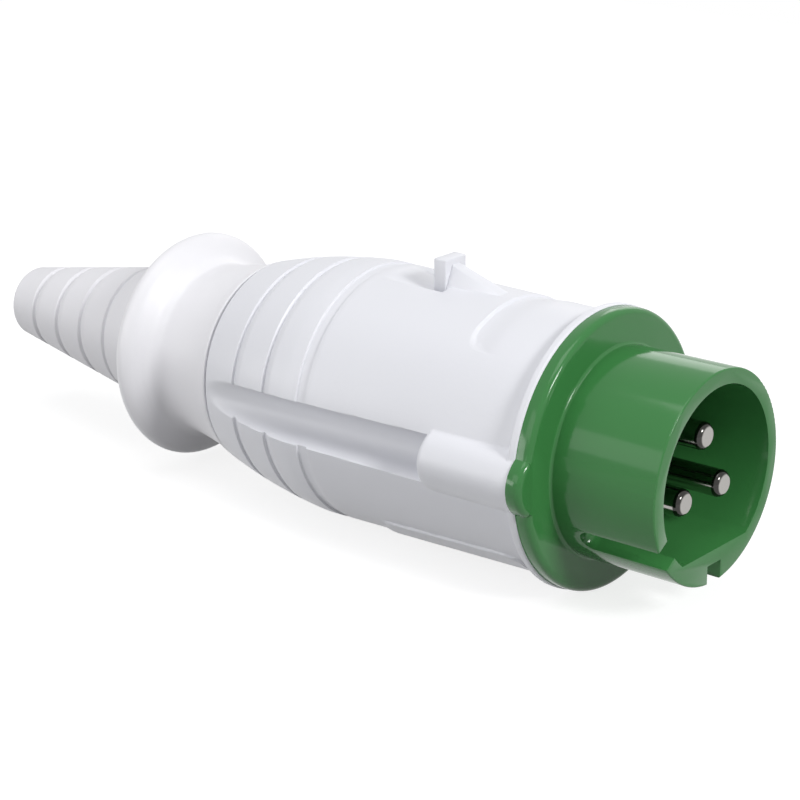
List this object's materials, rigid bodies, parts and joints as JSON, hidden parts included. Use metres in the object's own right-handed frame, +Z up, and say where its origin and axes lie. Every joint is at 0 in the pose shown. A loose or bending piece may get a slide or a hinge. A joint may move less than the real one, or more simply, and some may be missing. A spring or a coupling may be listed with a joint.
{
  "type": "pin and sleeve plug",
  "caption": "Straight pin and sleeve plug: keyed shroud round its contact pins, flange, ringed grip with a latch lug, gland nut with a finger guard and a ribbed cord boot.",
  "frame": {"origin": "centre of the shroud's mouth, on the plug's axis", "axes": "+X along the axis and out of the shroud, +Z up through the latch lug, +Y to the side away from the minor keyway"},
  "size_m": [0.1962, 0.0632, 0.0621],
  "materials": {
    "green_moulding": "glossy green moulding",
    "grey_handle": "satin light grey moulding",
    "grey_nut": "satin pale grey moulding",
    "grey_boot": "soft grey rubber",
    "contact_metal": "bright nickel-plated brass",
    "yellow_brass": "plain turned brass",
    "screw_steel": "zinc-plated steel",
    "black_seal": "black rubber",
    "black_cage": "black plastic"
  },
  "bodies": {
    "root": {"front_insert": "green_moulding", "pin_top": "contact_metal", "pin_right": "contact_metal", "pin_left": "contact_metal", "terminal_screws": "screw_steel", "wire_guards": "screw_steel", "pin_clips": "screw_steel", "contact_retainer": "green_moulding", "retainer_screw": "screw_steel", "handle": "grey_handle", "flange_seal": "black_seal", "housing_screws": "screw_steel", "housing_washers": "screw_steel", "threaded_inserts": "yellow_brass", "gland_nut": "grey_nut", "nut_seal": "black_seal", "cord_grommet": "black_seal", "clamp_cage": "black_cage", "friction_washer": "black_cage", "cord_boot": "grey_boot"}
  },
  "joints": []
}
